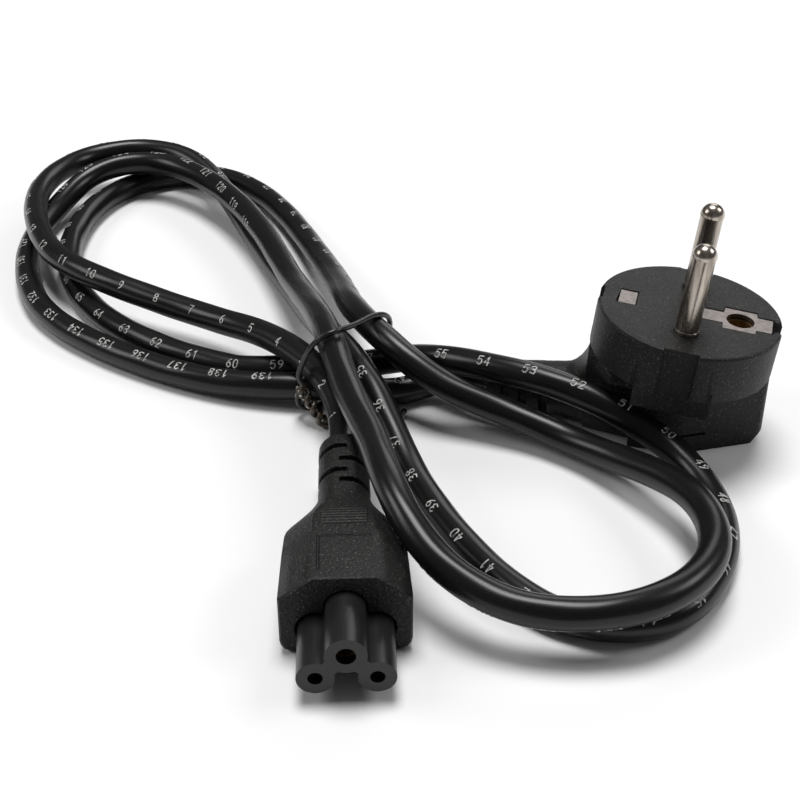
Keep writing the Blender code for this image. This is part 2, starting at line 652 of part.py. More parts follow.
def clover_outline(grow=0.0):
    """Three round lobes joined by two webs, seen along the connector."""
    top, side, web = EARTH_LOBE_RADIUS + grow, SIDE_LOBE_RADIUS + grow, WEB_WIDTH / 2 + grow
    fall = EARTH_HOLE_HEIGHT - SIDE_HOLE_HEIGHT
    slope = -math.atan2(fall, SIDE_HOLE_PLACE)
    top_spread, side_spread = math.asin(web / top), math.asin(web / side)
    earth = (0.0, EARTH_HOLE_HEIGHT)
    right = (SIDE_HOLE_PLACE, SIDE_HOLE_HEIGHT)
    outline = arc(earth, top, math.pi / 2, slope + top_spread, 12)
    outline += arc(right, side, slope + math.pi - side_spread, slope - math.pi + side_spread, 24)
    outline += arc(earth, top, slope - top_spread, -math.pi / 2, 4)
    return outline + [(-x, z) for x, z in reversed(outline[1:-1])]


def along_y(outline, start, end):
    """Prism with an outline in the XZ plane, running along Y."""
    return loft([[(x, y, z) for x, z in outline] for y in (start, end)])


def connector(frame, black, glossy, brass):
    """The connector: moulded body, insert with three holes, and a contact sleeve in each hole."""
    body = piece("connector_body", connector_shape(), frame, black)
    pocket = along_y(clover_outline(GAP), -OVERRUN, INSERT_DEPTH + GAP)
    cuts = [helper("insert_pocket", pocket, frame)]
    for number, place in enumerate(CONNECTOR_SLOT_PLACES):
        start, end = CONNECTOR_SLOT_SPAN
        outer = CONNECTOR_RELIEF_RADIUS + OVERRUN
        slot = ring_sector(RELIEF_CORE_RADIUS, outer, start, end, CONNECTOR_SLOT_WIDTH)
        if number % 2 == 0:
            moved(slot, Matrix.Scale(-1, 4, (0, 1, 0)))
        moved(slot, Matrix.Rotation(math.pi / 2, 4, "Z"))
        moved(slot, Matrix.Translation((0, place, CONNECTOR_AXIS_HEIGHT)))
        cuts.append(helper(f"connector_slot_{number}", slot, frame))
    combine(body, cuts, "DIFFERENCE")

    insert = piece("cloverleaf_insert", along_y(clover_outline(), -NOSE_LENGTH, INSERT_DEPTH), frame, glossy)
    holes = (
        ("left", -SIDE_HOLE_PLACE, SIDE_HOLE_HEIGHT, SIDE_HOLE / 2),
        ("right", SIDE_HOLE_PLACE, SIDE_HOLE_HEIGHT, SIDE_HOLE / 2),
        ("earth", 0.0, EARTH_HOLE_HEIGHT, EARTH_HOLE / 2),
    )
    lying = Matrix.Rotation(-math.pi / 2, 4, "X")
    mouth = -NOSE_LENGTH + MOUTH_DEPTH
    bores = []
    for name, x, z, radius in holes:
        place = Matrix.Translation((x, 0, z))
        sleeve = radius + SLEEVE_STEP - GAP
        front = rod(radius, -NOSE_LENGTH - OVERRUN, mouth + SEAT)
        bores.append(helper("hole_" + name, moved(front, place @ lying), frame))
        room = rod(sleeve + GAP, mouth, INSERT_DEPTH + OVERRUN)
        bores.append(helper("room_" + name, moved(room, place @ lying), frame))
        made = tube(sleeve, sleeve - SLEEVE_WALL, mouth + GAP, INSERT_DEPTH)
        piece("contact_sleeve_" + name, moved(made, place @ lying), frame, brass)
    combine(insert, bores, "DIFFERENCE")


def cord(plug_frame, connector_frame, finish):
    """The cord, from the connector's strain relief to the plug's."""
    away = [CONNECTOR_LENGTH + GAP, CONNECTOR_LENGTH + CORD_LEAD]
    start, straight = [connector_frame.matrix_world @ Vector((0, y, CONNECTOR_AXIS_HEIGHT)) for y in away]
    route = [straight] + [Vector(point) for point in CORD_ROUTE]
    away = [PLUG_RELIEF_END + CORD_LEAD, PLUG_RELIEF_END + GAP]
    height = PLUG_RELIEF_END_RADIUS + PLUG_RELIEF_LIFT
    straight, end = [plug_frame.matrix_world @ Vector((-x, 0, height)) for x in away]
    curve = spline(route + [straight], CORD_DIAMETER / 6)
    for point in curve:
        point.z = max(point.z, CORD_DIAMETER / 2)
    points = [start] + thinned(curve, CORD_POINTS, CORD_BEND_WEIGHT) + [end]
    strand("cord", points, CORD_DIAMETER, CORD_BEVEL_STEPS, finish)


def twisted(phase):
    """One wire of the tie's twist, from its top to its tip."""
    way = TWIST_TIP - TWIST_TOP
    side = way.cross(Vector((0, 0, 1))).normalized()
    other = way.normalized().cross(side)
    points = []
    for i in range(TWIST_STEPS + 1):
        share = i / TWIST_STEPS
        angle = 2 * math.pi * TWIST_TURNS * share + phase
        swing = math.cos(angle) * side + math.sin(angle) * other
        points.append(TWIST_TOP + way * share + TWIST_RADIUS * swing)
    return points


def tie(finish):
    """Wire tie around the bundle, its two ends twisted together."""
    route = twisted(-math.pi / 2)[::-1] + [Vector(point) for point in TIE_TURN]
    route += twisted(math.pi / 2) + [Vector(point) for point in TIE_LOOSE_END]
    strand("wire_tie", spline(route, WIRE_POINT_SPACING), WIRE_DIAMETER, WIRE_BEVEL_STEPS, finish)


def main():
    """Build every piece of the cord."""
    for old in list(bpy.data.objects):
        bpy.data.objects.remove(old, do_unlink=True)
    black = material("moulded_black", (0.016, 0.016, 0.017), 0.55)
    glossy = material("insert_black", (0.012, 0.012, 0.013), 0.30)
    jacket = material("cord_black", (0.018, 0.018, 0.019), 0.42)
    coated = material("tie_black", (0.015, 0.015, 0.015), 0.35)
    nickel = material("nickel", (0.72, 0.69, 0.63), 0.22, 1.0)
    brass = material("brass", (0.62, 0.45, 0.22), 0.35, 1.0)
    plug_frame = holder("plug", (*PLUG_SPOT, 0), (0, 0, PLUG_TURN))
    face = holder("plug_face", (0, 0, FACE_HEIGHT), (0, FACE_LEAN, 0), plug_frame)
    connector_frame = holder("connector", (*CONNECTOR_SPOT, 0), (0, 0, CONNECTOR_TURN))
    bpy.context.view_layer.update()
    plug(plug_frame, face, black, nickel, brass)
    connector(connector_frame, black, glossy, brass)
    cord(plug_frame, connector_frame, jacket)
    tie(coated)


main()
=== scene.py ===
"""Looks of a mains cord in a tied bundle: plug, round cord, cloverleaf connector and wire tie.

Metres, +Z up, on the surface at z = 0. The plug and the connector each have a frame of their own:
the plug's X runs from its strain relief to its rounded end, and the connector's -Y runs out of
its nose.
"""

import math

import bmesh
import bpy
import numpy as np
from mathutils import Matrix, Vector


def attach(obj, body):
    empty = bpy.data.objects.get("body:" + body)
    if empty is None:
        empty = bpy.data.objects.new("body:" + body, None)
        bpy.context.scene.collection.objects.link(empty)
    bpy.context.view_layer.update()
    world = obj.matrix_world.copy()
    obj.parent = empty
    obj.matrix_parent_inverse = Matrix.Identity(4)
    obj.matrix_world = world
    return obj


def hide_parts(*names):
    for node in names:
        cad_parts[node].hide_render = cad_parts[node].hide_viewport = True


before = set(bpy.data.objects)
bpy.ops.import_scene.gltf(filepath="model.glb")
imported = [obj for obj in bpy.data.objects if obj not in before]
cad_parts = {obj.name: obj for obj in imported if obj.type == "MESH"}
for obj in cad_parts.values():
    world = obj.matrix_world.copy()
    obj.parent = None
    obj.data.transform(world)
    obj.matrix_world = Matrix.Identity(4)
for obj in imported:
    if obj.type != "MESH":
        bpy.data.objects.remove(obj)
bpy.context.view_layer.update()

# Camera
CAMERA_AIM = Vector((-0.028, 0.0415, 0.0))
CAMERA_REACH = 0.303
CAMERA_PITCH = math.radians(32.2)
CAMERA_LENS = 63.0

# Studio. Each lamp: name, place, width in metres, power in watts
SKY_STRENGTH = 0.10
FLOOR_REACH = 30.0
OVERHEAD_STRENGTH = 2.35
OVERHEAD_SPREAD = math.radians(26)
OVERHEAD_LEAN = (math.radians(-12), math.radians(-2), 0)
LAMPS = (
    ("left", (-0.70, 0.05, 0.50), 0.30, 1.6),
    ("right", (0.65, 0.10, 0.55), 0.30, 1.6),
    ("behind", (0.30, 0.98, 0.58), 0.50, 1.7),
)

# Where the plug and the connector lie
PLUG_PLACE = Matrix.Translation((0.0298, 0.0305, 0.0)) @ Matrix.Rotation(math.radians(-15), 4, "Z")
FACE_HEIGHT = 0.0282
FACE_LEAN = math.radians(5.8)
FACE_PLACE = PLUG_PLACE @ Matrix.Translation((0, 0, FACE_HEIGHT)) @ Matrix.Rotation(FACE_LEAN, 4, "Y")
CONNECTOR_PLACE = Matrix.Translation((-0.037, -0.038, 0.0)) @ Matrix.Rotation(math.radians(2.3), 4, "Z")

# Cord: its sizes, where it leaves the connector and the plug as (distance, height), and its route
CORD_RADIUS = 0.0030
CORD_LENGTH = 1.43
CORD_LEAD = 0.0045
CORD_GAP = 0.0003
CORD_SPACING = 0.0012
CORD_SIDES = 36
LAY_PITCH = 0.046
LAY_SWELL = 0.00003
CONNECTOR_EXIT = (0.0480, 0.0080)
PLUG_EXIT = (0.0400, 0.0051)
CORD_ROUTE = (
    (-0.0392, 0.0180, 0.0083), (-0.0415, 0.0280, 0.0102), (-0.0475, 0.0395, 0.0110),
    (-0.0560, 0.0505, 0.0104), (-0.0680, 0.0618, 0.0082), (-0.0840, 0.0715, 0.0084),
    (-0.0985, 0.0800, 0.0095), (-0.1110, 0.0915, 0.0097), (-0.1190, 0.1070, 0.0096),
    (-0.1235, 0.1235, 0.0093), (-0.1235, 0.1410, 0.0088), (-0.1155, 0.1555, 0.0090),
    (-0.1015, 0.1600, 0.0095), (-0.0874, 0.1545, 0.0089), (-0.0765, 0.1410, 0.0055),
    (-0.0683, 0.1224, 0.0034), (-0.0603, 0.1020, 0.0031), (-0.0525, 0.0820, 0.0038),
    (-0.0465, 0.0630, 0.0072), (-0.0402, 0.0450, 0.0114), (-0.0326, 0.0280, 0.0092),
    (-0.0264, 0.0110, 0.0043), (-0.0199, -0.0050, 0.0030), (-0.0110, -0.0215, 0.0030),
    (0.0020, -0.0334, 0.0030), (0.0170, -0.0332, 0.0030), (0.0285, -0.0200, 0.0030),
    (0.0320, -0.0030, 0.0030), (0.0273, 0.0118, 0.0052), (0.0145, 0.0215, 0.0106),
    (0.0005, 0.0288, 0.0130), (-0.0113, 0.0358, 0.0122), (-0.0190, 0.0410, 0.0106),
    (-0.0262, 0.0462, 0.0077), (-0.0352, 0.0491, 0.0048), (-0.0500, 0.0477, 0.0044),
    (-0.0640, 0.0500, 0.0030), (-0.0800, 0.0580, 0.0030), (-0.0945, 0.0700, 0.0030),
    (-0.1060, 0.0870, 0.0030), (-0.1120, 0.1060, 0.0030), (-0.1125, 0.1260, 0.0030),
    (-0.1075, 0.1435, 0.0030), (-0.0960, 0.1550, 0.0030), (-0.0800, 0.1555, 0.0030),
    (-0.0660, 0.1432, 0.0030), (-0.0552, 0.1215, 0.0036), (-0.0474, 0.0978, 0.0058),
    (-0.0420, 0.0764, 0.0096), (-0.0380, 0.0570, 0.0139), (-0.0310, 0.0420, 0.0147),
    (-0.0200, 0.0325, 0.0102), (-0.0060, 0.0265, 0.0064), (0.0070, 0.0185, 0.0046),
    (0.0175, 0.0070, 0.0068), (0.0255, -0.0060, 0.0094), (0.0275, -0.0190, 0.0095),
    (0.0207, -0.0318, 0.0095), (0.0060, -0.0390, 0.0095), (-0.0104, -0.0369, 0.0097),
    (-0.0233, -0.0272, 0.0135), (-0.0298, -0.0140, 0.0174), (-0.0334, 0.0020, 0.0168),
    (-0.0379, 0.0180, 0.0166), (-0.0426, 0.0380, 0.0173), (-0.0475, 0.0580, 0.0142),
    (-0.0540, 0.0810, 0.0098), (-0.0620, 0.1050, 0.0093), (-0.0720, 0.1260, 0.0095),
    (-0.0845, 0.1425, 0.0097), (-0.0980, 0.1503, 0.0096), (-0.1112, 0.1470, 0.0082),
    (-0.1194, 0.1345, 0.0048), (-0.1230, 0.1160, 0.0030), (-0.1206, 0.0966, 0.0030),
    (-0.1124, 0.0769, 0.0030), (-0.0980, 0.0615, 0.0030), (-0.0810, 0.0500, 0.0030),
    (-0.0660, 0.0430, 0.0036), (-0.0520, 0.0398, 0.0046), (-0.0450, 0.0392, 0.0048),
    (-0.0380, 0.0389, 0.0043), (-0.0310, 0.0396, 0.0032), (-0.0245, 0.0417, 0.0032),
    (-0.0187, 0.0429, 0.0042),
)

# Plain numbers printed along the cord, one for each centimetre, and where around it they run, as
# (distance from the connector, degrees). Each digit is one line on a grid 2 wide and 4 high.
MARKS_IN_METRE = 100
MARK_HEIGHT = 0.0019
MARK_PITCH = 0.0016
STROKE_HALF_WIDTH = 0.00012
STROKE_PIECE = 0.00045
INK_RISE = 0.00003
INK_DEPTH = 0.00005
MARK_ROLL = (
    (0.00, 140), (0.20, 128), (0.33, 60), (0.46, 55), (0.54, 128), (0.66, 132), (0.80, 95),
    (0.95, 230), (1.15, 230), (1.22, 75), (1.34, 60), (1.44, 95),
)
DIGITS = (
    ((0, 1), (0, 3), (0.4, 3.8), (1, 4), (1.6, 3.8), (2, 3), (2, 1), (1.6, 0.2), (1, 0), (0.4, 0.2),
     (0, 1)),
    ((0.3, 3.2), (1.1, 4), (1.1, 0)),
    ((0, 3.1), (0.4, 3.8), (1, 4), (1.7, 3.7), (2, 3), (1.7, 2.2), (0, 0), (2, 0)),
    ((0, 3.4), (0.7, 4), (1.6, 3.8), (1.9, 3), (1.5, 2.2), (0.8, 2.1), (1.6, 1.9), (2, 1), (1.5, 0.2),
     (0, 0.5)),
    ((1.5, 0), (1.5, 4), (0, 1.2), (2, 1.2)),
    ((1.9, 4), (0.2, 4), (0, 2.2), (1, 2.5), (1.8, 2.1), (2, 1.2), (1.5, 0.2), (0.8, 0), (0, 0.5)),
    ((1.6, 3.9), (0.6, 3), (0, 1.5), (0.3, 0.4), (1, 0), (1.7, 0.4), (2, 1.2), (1.5, 2.1), (0.7, 2.2),
     (0, 1.4)),
    ((0, 4), (2, 4), (0.8, 0)),
    ((1, 2.1), (0.2, 2.7), (0.3, 3.7), (1, 4), (1.7, 3.7), (1.8, 2.7), (1, 2.1), (0.1, 1.4), (0.2, 0.4),
     (1, 0), (1.8, 0.4), (1.9, 1.4), (1, 2.1)),
    ((0.4, 0.1), (1.4, 1), (2, 2.5), (1.7, 3.6), (1, 4), (0.3, 3.6), (0, 2.8), (0.5, 1.9), (1.3, 1.8),
     (2, 2.6)),
)
DIGIT_UNITS = 4

# Wire tie: a twist, the turn around the bundle, and a loose end
WIRE_RADIUS = 0.0006
WIRE_SPACING = 0.0003
WIRE_SIDES = 14
TWIST_TOP = np.array((-0.0487, 0.0334, 0.0082))
TWIST_TIP = np.array((-0.0439, 0.0302, 0.0014))
TWIST_TURNS = 2
TWIST_STEPS = 20
TWIST_RADIUS = 0.00076
FIRST_SIDE = (0.3, 0.2, 1.0)
RUB_REACH = 2.5
RUB_FADE = 8
TIE_TURN = (
    (-0.0489, 0.0331, 0.0104), (-0.0484, 0.0331, 0.0134), (-0.0470, 0.0328, 0.0168),
    (-0.0446, 0.0328, 0.0200), (-0.0416, 0.0334, 0.0214), (-0.0386, 0.0368, 0.0207),
    (-0.0362, 0.0408, 0.0197), (-0.0337, 0.0446, 0.0190), (-0.0308, 0.0482, 0.0170),
    (-0.0302, 0.0504, 0.0134), (-0.0310, 0.0528, 0.0094), (-0.0321, 0.0545, 0.0050),
    (-0.0338, 0.0532, 0.0014), (-0.0365, 0.0498, 0.0007), (-0.0415, 0.0430, 0.0007),
    (-0.0462, 0.0376, 0.0008), (-0.0490, 0.0354, 0.0024), (-0.0496, 0.0346, 0.0050),
    (-0.0492, 0.0341, 0.0073),
)
TIE_LOOSE_END = (
    (-0.0416, 0.0304, 0.0008), (-0.0360, 0.0324, 0.0007), (-0.0310, 0.0336, 0.0007),
    (-0.0282, 0.0342, 0.0009), (-0.0269, 0.0343, 0.0020),
)

# Pins
PIN_RADIUS = 0.0024
PIN_LENGTH = 0.0190
PIN_SPACING = 0.0190
PIN_ROOT = 0.0080
PIN_SIDES = 64
TIP_RINGS = 13
LIP_RINGS = 9
SHAFT_RELIEF = 0.00012
SHAFT_START = 0.0008
BORE_GAP = 0.0003
COLLAR_CLEARANCE = 0.00003
COLLAR_OVERLAP = 0.0002
COLLAR_DEPTH = 0.0008
COLLAR_RISE = 0.00012

# Softened edges of the moulded pieces
MERGE = 0.000002
SHARP_ANGLE = math.radians(32)
FLAT_ANGLE = math.radians(1)
EDGE_WIDTH = 0.00022
ROOM_FOR_BEVEL = 3.2

# Shallow relief on the connector's top, in the connector's own frame
PANEL = (-0.0044, 0.0046, 0.0022, 0.0112)
GROOVE = 0.0004
GROOVE_SOFT = 0.00012
RIB_PATCH = (0.0041, 0.0150, 0.0213)
RIB_PITCH = 0.00105
RELIEF_FLOOR = 0.0100
RELIEF_HEIGHT = 0.0003


class Link:
    """Output of a shader node. Arithmetic on it adds Math nodes."""

    def __init__(self, finish, socket):
        self.finish = finish
        self.socket = socket

    def math(self, operation, *others):
        """This value and the others through one Math node."""
        values = dict(enumerate((self, *others)))
        return self.finish.node("Math", {"operation": operation}, values)

    def __add__(self, other):
        return self.math("ADD", other)

    def __radd__(self, other):
        return self.math("ADD", other)

    def __sub__(self, other):
        return self.math("SUBTRACT", other)

    def __rsub__(self, other):
        return (self * -1).math("ADD", other)

    def __mul__(self, other):
        return self.math("MULTIPLY", other)

    def __rmul__(self, other):
        return self.math("MULTIPLY", other)

    def step(self, low, high):
        """0 below low, 1 above high, smooth between."""
        settings = {"interpolation_type": "SMOOTHSTEP"}
        return self.finish.node("MapRange", settings, {0: self, 1: low, 2: high})

    def within(self, low, high, soft):
        """1 between two values and 0 outside, with soft edges."""
        return self.step(low - soft, low + soft) * (1 - self.step(high - soft, high + soft))


class Finish:
    """A material around one Principled shader."""

    def __init__(self, name):
        self.material = bpy.data.materials.new(name)
        self.material.use_nodes = True
        self.tree = self.material.node_tree
        self.shader = self.tree.nodes["Principled BSDF"]

    def feed(self, socket, value):
        """Link a socket to a node's output, or set it to a plain value."""
        if isinstance(value, Link):
            self.tree.links.new(value.socket, socket)
        elif isinstance(value, tuple) and len(value) == 3 and socket.type == "RGBA":
            socket.default_value = (*value, 1.0)
        else:
            socket.default_value = value

    def node(self, kind, settings=None, values=None, output=0):
        """Any shader node: its type, its settings, and the values or links of its sockets."""
        made = self.tree.nodes.new("ShaderNode" + kind)
        for name, setting in (settings or {}).items():
            setattr(made, name, setting)
        for name, value in (values or {}).items():
            self.feed(made.inputs[name], value)
        return Link(self, made.outputs[output])

    def place(self, scale=(1, 1, 1), attribute=None):
        """Object coordinates, or a vector attribute, stretched by a scale."""
        if attribute:
            source = self.node("Attribute", {"attribute_name": attribute}, output="Vector")
        else:
            source = self.node("TexCoord", output="Object")
        return self.node("Mapping", None, {"Vector": source, "Scale": scale})

    def noise(self, place, scale, detail=3.0, roughness=0.5):
        """Noise value from 0 to 1."""
        values = {"Vector": place, "Scale": scale, "Detail": detail, "Roughness": roughness}
        return self.node("TexNoise", None, values)

    def cells(self, place, scale):
        """Distance to the nearest of many scattered points, in cell widths."""
        return self.node("TexVoronoi", None, {"Vector": place, "Scale": scale})

    def mix(self, share, first, second):
        """Colour between two colours."""
        return self.node("Mix", {"data_type": "RGBA"}, {0: share, 6: first, 7: second}, output=2)

    def bump(self, height, depth, strength=1.0, over=None):
        """Normal from a height of 0 to 1 that stands for a depth in metres, over another normal if given."""
        values = {"Strength": strength, "Distance": depth, "Height": height}
        if over:
            values["Normal"] = over
        return self.node("Bump", None, values)

    def set(self, **values):
        """Feed the shader's own sockets."""
        for name, value in values.items():
            self.feed(self.shader.inputs[name.replace("_", " ")], value)
        return self.material


def moulded_black(name="moulded_black", relief=None):
    """Matte black PVC with a fine grain, a few pale scuffs and fine pale specks that are painted glints of
    the grain, and with a shallow relief if given.
    """
    finish = Finish(name)
    place = finish.place()
    grain = finish.noise(place, 2300, 3.0, 0.65)
    pits = finish.cells(place, 1300).step(0.05, 0.5)
    cloud = finish.noise(place, 140, 4.0, 0.6)
    # Fine pale specks mixed into the colour: painted glints of the grain, not marks on it.
    glint_specks = finish.noise(place, 2700, 1.0).step(0.63, 0.71)
    scuffs = finish.noise(finish.place((1, 0.25, 1)), 1500, 2.0).step(0.66, 0.78)
    dark = finish.mix(cloud, (0.0055, 0.0054, 0.0052), (0.0125, 0.0122, 0.0115))
    colour = finish.mix(scuffs * 0.2 + glint_specks * 0.55, dark, (0.120, 0.116, 0.108))
    normal = finish.bump(grain * 0.6 + pits * 0.4, 0.00015, 0.95)
    if relief:
        normal = finish.bump(relief(finish), RELIEF_HEIGHT, 1.0, normal)
    roughness = 0.42 + cloud * 0.14 + scuffs * 0.1
    return finish.set(Base_Color=colour, Roughness=roughness, Normal=normal, Specular_IOR_Level=0.24)


def connector_relief(finish):
    """Height on the connector's top: a groove behind and to the left of the flat panel, and a patch of
    fine ribs across the narrowing part. x and y are the connector's own, in metres."""
    inverse = CONNECTOR_PLACE.inverted()
    values = {"Location": tuple(inverse.translation), "Rotation": tuple(inverse.to_euler())}
    values["Vector"] = finish.node("TexCoord", output="Object")
    local = finish.node("Mapping", None, values)
    x, y, z = (finish.node("SeparateXYZ", None, {"Vector": local}, output=axis) for axis in "XYZ")
    left, right, front, back = PANEL
    behind = y.within(back - GROOVE / 2, back + GROOVE / 2, GROOVE_SOFT)
    behind = behind * x.within(left, right, GROOVE_SOFT)
    beside = x.within(left - GROOVE / 2, left + GROOVE / 2, GROOVE_SOFT)
    beside = beside * y.within(front, back, GROOVE_SOFT)
    half_width, first, last = RIB_PATCH
    patch = x.within(-half_width, half_width, GROOVE_SOFT) * y.within(first, last, GROOVE_SOFT)
    ribs = (y * (2 * math.pi / RIB_PITCH)).math("SINE") * 0.5 + 0.5
    top = z.step(RELIEF_FLOOR, RELIEF_FLOOR + GROOVE)
    return top * (patch * (ribs * 0.7 + 0.3) - behind.math("MAXIMUM", beside))


def insert_black():
    """Smooth satin black nylon with faint drag marks along it."""
    finish = Finish("insert_black")
    marks = finish.noise(finish.place((1, 0.12, 1)), 1900, 3.0)
    cloud = finish.noise(finish.place(), 260, 3.0)
    colour = finish.mix(cloud, (0.008, 0.008, 0.0085), (0.016, 0.016, 0.0165))
    normal = finish.bump(marks, 0.00003, 0.6)
    roughness = 0.26 + marks * 0.14
    return finish.set(Base_Color=colour, Roughness=roughness, Normal=normal, Specular_IOR_Level=0.4)


def cord_black():
    """Satin black cord jacket: fine lines along it from the extruder's die, and faint handling marks."""
    finish = Finish("cord_black")
    lines = finish.noise(finish.place((2.2, 2.2, 3.0), "skin"), 3.0, 4.0, 0.6)
    cloud = finish.noise(finish.place((1, 1, 60), "skin"), 1.1, 3.0)
    dust = finish.noise(finish.place(), 1900, 2.0, 0.5).step(0.70, 0.80)
    dark = finish.mix(cloud, (0.0040, 0.0040, 0.0040), (0.0085, 0.0083, 0.0080))
    colour = finish.mix(dust * 0.25, dark, (0.07, 0.07, 0.07))
    normal = finish.bump(lines, 0.00005, 0.35)
    roughness = 0.21 + lines * 0.09 + cloud * 0.05
    return finish.set(Base_Color=colour, Roughness=roughness, Normal=normal, Specular_IOR_Level=0.34)


def mark_white():
    """White print, rubbed thin in places."""
    finish = Finish("mark_white")
    rub = finish.noise(finish.place(), 1500, 3.0, 0.6).step(0.30, 0.62)
    colour = finish.mix(rub, (0.10, 0.10, 0.10), (0.62, 0.62, 0.60))
    return finish.set(Base_Color=colour, Roughness=0.5)


def nickel(name, darker, lighter, roughness):
    """Nickel plating with fine lengthwise marks and long darker streaks, between two colours."""
    finish = Finish(name)
    lean = finish.node("TexCoord", output="Object")
    turn = (0.0, -FACE_LEAN, 0.0)
    along = finish.node("Mapping", None, {"Vector": lean, "Rotation": turn, "Scale": (1, 1, 0.06)})
    marks = finish.noise(along, 5200, 3.0, 0.7)
    streaks = finish.noise(along, 900, 2.0, 0.6).step(0.35, 0.65)
    cloud = finish.noise(finish.place(), 420, 3.0)
    colour = finish.mix(streaks * 0.6 + cloud * 0.4, darker, lighter)
    normal = finish.bump(marks, 0.00002, 0.5)
    return finish.set(Base_Color=colour, Roughness=roughness + marks * 0.16, Metallic=1.0, Normal=normal)


def brass():
    """Bare brass, dulled in patches."""
    finish = Finish("brass")
    cloud = finish.noise(finish.place(), 900, 3.0)
    colour = finish.mix(cloud, (0.30, 0.19, 0.08), (0.66, 0.48, 0.24))
    return finish.set(Base_Color=colour, Roughness=0.3 + cloud * 0.2, Metallic=1.0)


def tie_black():
    """Glossy black coating, rubbed brown where the wire is twisted, with painted glints on the twist."""
    finish = Finish("tie_black")
    place = finish.place()
    twist = finish.node("Attribute", {"attribute_name": "twist"}, output="Fac")
    rub = finish.noise(place, 700, 3.0, 0.6)
    # Pale flecks on the twist mixed into the colour: painted glints, not bare wire.
    glint = finish.noise(place, 1100, 1.0).step(0.64, 0.70) * twist
    brown = finish.mix(rub, (0.014, 0.010, 0.007), (0.15, 0.105, 0.065))
    colour = finish.mix(twist * rub.step(0.35, 0.6), (0.007, 0.007, 0.007), brown)
    colour = finish.mix(glint, colour, (0.85, 0.82, 0.76))
    return finish.set(Base_Color=colour, Roughness=0.22 + rub * 0.12)


def pale_floor():
    """Plain white surface."""
    finish = Finish("pale_floor")
    return finish.set(Base_Color=(0.92, 0.92, 0.92), Roughness=0.9)


def mesh_piece(name, points, faces, material, smooth=True):
    """Mesh object from arrays of points and faces, its faces turned outwards."""
    mesh = bpy.data.meshes.new(name)
    mesh.from_pydata(points, [], faces)
    shape = bmesh.new()
    shape.from_mesh(mesh)
    bmesh.ops.recalc_face_normals(shape, faces=shape.faces)
    shape.to_mesh(mesh)
    shape.free()
    mesh.materials.append(material)
    if smooth:
        mesh.shade_smooth()
        mesh.set_sharp_from_angle(angle=SHARP_ANGLE)
    made = bpy.data.objects.new(name, mesh)
    bpy.context.collection.objects.link(made)
    return made


def skin(grid):
    """Faces over a grid of rings, flat ends included: ring i, side j is point i * sides + j."""
    rings, sides = grid.shape[:2]
    index = np.arange(rings * sides).reshape(rings, sides)
    after = np.roll(index, -1, axis=1)
    quads = np.stack([index[:-1], after[:-1], after[1:], index[1:]], axis=-1).reshape(-1, 4)
    return quads.tolist() + [index[0].tolist(), index[-1].tolist()]


def closed_skin(grid, start):
    """Faces over a grid that closes both ways, as on a ring, its points counted from a start: no ends."""
    rings, sides = grid.shape[:2]
    index = np.arange(rings * sides).reshape(rings, sides) + start
    after, further = np.roll(index, -1, axis=1), np.roll(index, -1, axis=0)
    both = np.roll(after, -1, axis=0)
    return np.stack([index, after, both, further], axis=-1).reshape(-1, 4).tolist()


def placed(points, matrix):
    """Points moved by a matrix, as one product."""
    moved = np.array(matrix)
    return points @ moved[:3, :3].T + moved[:3, 3]


def smooth_line(points, spacing):
    """Natural cubic spline through points by chord length: the second derivatives solve one banded
    system, and each span is the cubic that they and its two ends give."""
    points = np.array(points, float)
    spans = np.linalg.norm(np.diff(points, axis=0), axis=1)
    count = len(points)
    system = np.eye(count)
    pull = np.zeros_like(points)
    inner = np.arange(1, count - 1)
    system[inner, inner - 1] = spans[:-1]
    system[inner, inner] = 2 * (spans[:-1] + spans[1:])
    system[inner, inner + 1] = spans[1:]
    slopes = np.diff(points, axis=0) / spans[:, None]
    pull[1:-1] = 6 * np.diff(slopes, axis=0)
    moments = np.linalg.solve(system, pull)
    places = np.concatenate([[0], np.cumsum(spans)])
    wanted = np.linspace(0, places[-1], round(places[-1] / spacing) + 1)
    span = np.clip(np.searchsorted(places, wanted, side="right") - 1, 0, count - 2)
    size = spans[span][:, None]
    near = (wanted - places[span])[:, None]
    far = size - near
    bow = (moments[span] * far**3 + moments[span + 1] * near**3) / (6 * size)
    first = (points[span] / size - moments[span] * size / 6) * far
    second = (points[span + 1] / size - moments[span + 1] * size / 6) * near
    return bow + first + second


def lengths_along(path):
    """Distance of each point from the path's start."""
    return np.concatenate([[0], np.cumsum(np.linalg.norm(np.diff(path, axis=0), axis=1))])


def unit(vectors):
    """Vectors scaled to length 1."""
    return vectors / np.linalg.norm(vectors, axis=-1, keepdims=True)


def level_frames(path):
    """Two directions across a path: one level, to its right, and one upwards."""
    along = unit(np.gradient(path, axis=0))
    across = unit(np.cross(along, (0.0, 0.0, 1.0)))
    return across, np.cross(across, along)


def carried_frames(path):
    """Two directions across a path, carried along it without twist, one ring after another."""
    along = unit(np.gradient(path, axis=0))
    across = np.zeros_like(path)
    side = np.cross(along[0], FIRST_SIDE)
    for i, way in enumerate(along):
        side = side - way * np.dot(side, way)
        side = side / np.linalg.norm(side)
        across[i] = side
    return across, np.cross(along, across)


def tube(path, frames, radius, sides):
    """Rings around a path: each point is the path's plus radius * (cos a * across + sin a * up). The
    radius is one number, or one for each ring and side."""
    across, up = frames
    turn = np.linspace(0, 2 * math.pi, sides, endpoint=False)
    radius = np.broadcast_to(radius, (len(path), sides))[..., None]
    ring = np.cos(turn)[None, :, None] * across[:, None] + np.sin(turn)[None, :, None] * up[:, None]
    return path[:, None] + radius * ring


